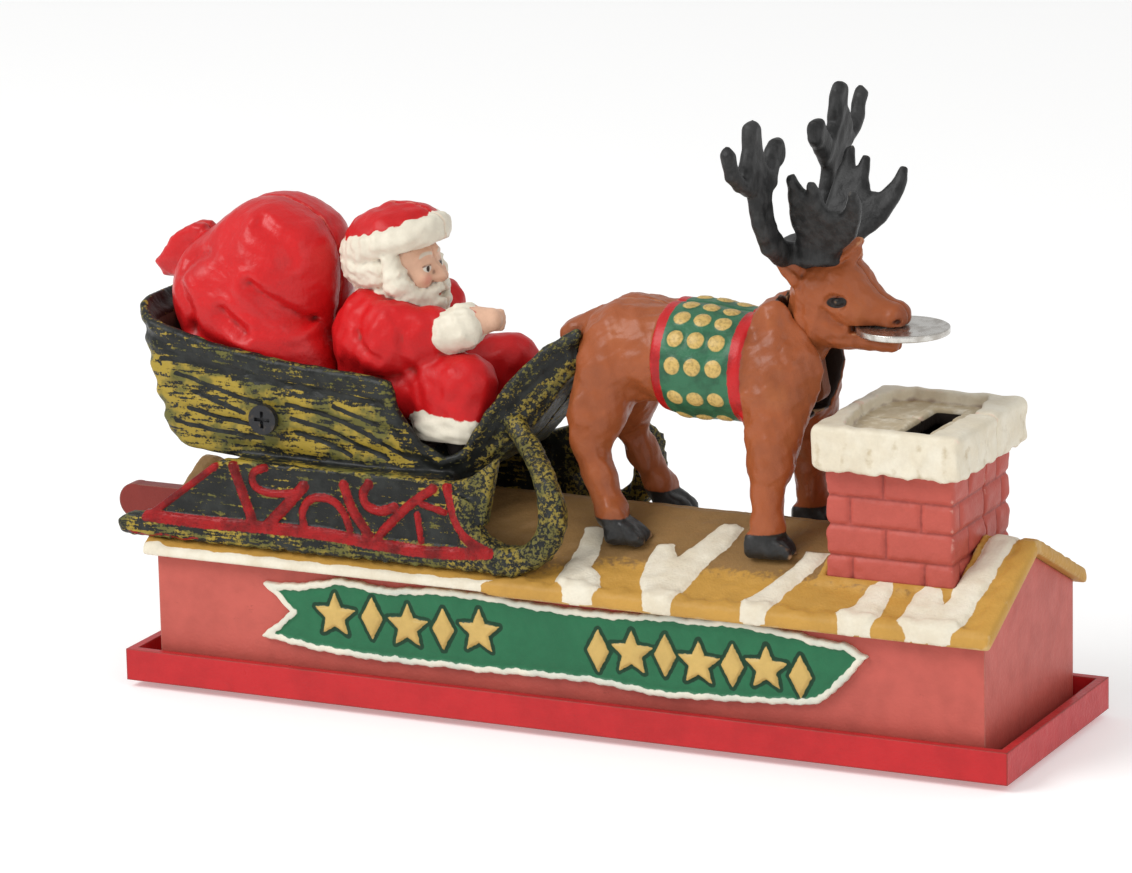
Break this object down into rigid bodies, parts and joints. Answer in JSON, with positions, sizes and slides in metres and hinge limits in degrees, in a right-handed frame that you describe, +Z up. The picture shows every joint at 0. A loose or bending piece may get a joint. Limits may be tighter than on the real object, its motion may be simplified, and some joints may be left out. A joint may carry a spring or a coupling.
{
  "type": "mechanical coin bank",
  "caption": "Cast-iron mechanical coin bank: sleigh, driver and toy sack on a snowy house roof, a reindeer that nods and drops a coin down the chimney.",
  "frame": {"origin": "on the table under the middle of the whole bank, coin and lever included", "axes": "+X along the house toward the chimney, the way the reindeer faces; -Y toward the viewer's long side; +Z up"},
  "size_m": [0.274, 0.089, 0.1665],
  "materials": {
    "tray_red": "worn gloss paint over cast iron",
    "house_salmon": "satin paint over cast iron",
    "roof_ochre": "matte paint over cast iron",
    "chimney_brick": "satin paint over cast iron",
    "sleigh_black": "dry-brushed paint over cast iron",
    "sack_red": "satin paint over cast iron",
    "coat_red": "satin paint over cast iron",
    "deer_brown": "satin paint over cast iron",
    "lever_red": "worn paint over cast iron",
    "antler_iron": "dark painted casting",
    "steel": "zinc-plated and dulled",
    "coin_silver": "struck metal, bright"
  },
  "bodies": {
    "bank": {"base_tray": "tray_red", "base_screws": "steel", "trap_screw": "steel", "trap_nut": "steel", "house_shell": "house_salmon", "roof_front": "roof_ochre", "roof_back": "roof_ochre", "chimney_front": "chimney_brick", "chimney_back": "chimney_brick", "sleigh_near": "sleigh_black", "sleigh_far": "sleigh_black", "sleigh_screw": "steel", "sleigh_nut": "steel", "sack_near": "sack_red", "sack_far": "sack_red", "driver_near": "coat_red", "driver_far": "coat_red", "deer_near": "deer_brown", "deer_far": "deer_brown", "body_rivet": "steel", "neck_pin": "steel", "lever_pin": "steel", "rocker_bracket": "steel", "bracket_rivets": "steel", "rocker_pin": "steel", "spring_post": "steel", "return_spring": "steel"},
    "head": {"head_near": "deer_brown", "head_far": "deer_brown", "neck_plate": "deer_brown", "head_rivet": "steel", "neck_link_pin": "steel", "antlers": "antler_iron"},
    "coin": {"coin": "coin_silver"},
    "lever": {"lever": "lever_red", "lever_rod_pin": "steel"},
    "push_rod": {"push_rod": "steel"},
    "rocker": {"rocker": "steel", "rocker_rod_pin": "steel", "rocker_link_pin": "steel"},
    "link": {"link": "steel"},
    "coin_door": {"trap_cover": "tray_red"}
  },
  "joints": [
    {"name": "head_nod", "type": "hinge", "parent": "bank", "child": "head", "pos_m": [0.067, 0, 0.10201], "axis": [0, 1, 0], "range_deg": [0, 24]},
    {"name": "lever_press", "type": "hinge", "parent": "bank", "child": "lever", "pos_m": [-0.094, 0, 0.04179], "axis": [0, -1, 0], "range_deg": [0, 15], "stiffness_Nm_per_rad": 0.25, "springref_deg": -20.05, "deforming": ["return_spring"]},
    {"name": "rod_slide", "type": "slide", "parent": "bank", "child": "push_rod", "axis": [1, 0, 0], "range_m": [0, 0.00416]},
    {"name": "rocker_turn", "type": "hinge", "parent": "bank", "child": "rocker", "pos_m": [0.067, 0, 0.01622], "axis": [0, 1, 0], "range_deg": [0, 24]},
    {"name": "link_slide", "type": "slide", "parent": "bank", "child": "link", "axis": [0, 0, 1], "range_m": [0, 0.00416]},
    {"name": "coin_slide", "type": "slide", "parent": "head", "child": "coin", "axis": [1, 0, 0], "range_m": [0, 0.007]},
    {"name": "door_swing", "type": "hinge", "parent": "bank", "child": "coin_door", "pos_m": [0.011, 0, 0.0014], "axis": [0, 0, 1], "range_deg": [0, 90]}
  ],
  "couplings": [
    {"joint": "lever_press", "follows": "head_nod", "ratio": 0.625},
    {"joint": "rod_slide", "follows": "head_nod", "m_per_rad": 0.009927},
    {"joint": "rocker_turn", "follows": "head_nod", "ratio": 1},
    {"joint": "link_slide", "follows": "head_nod", "m_per_rad": 0.009927}
  ]
}
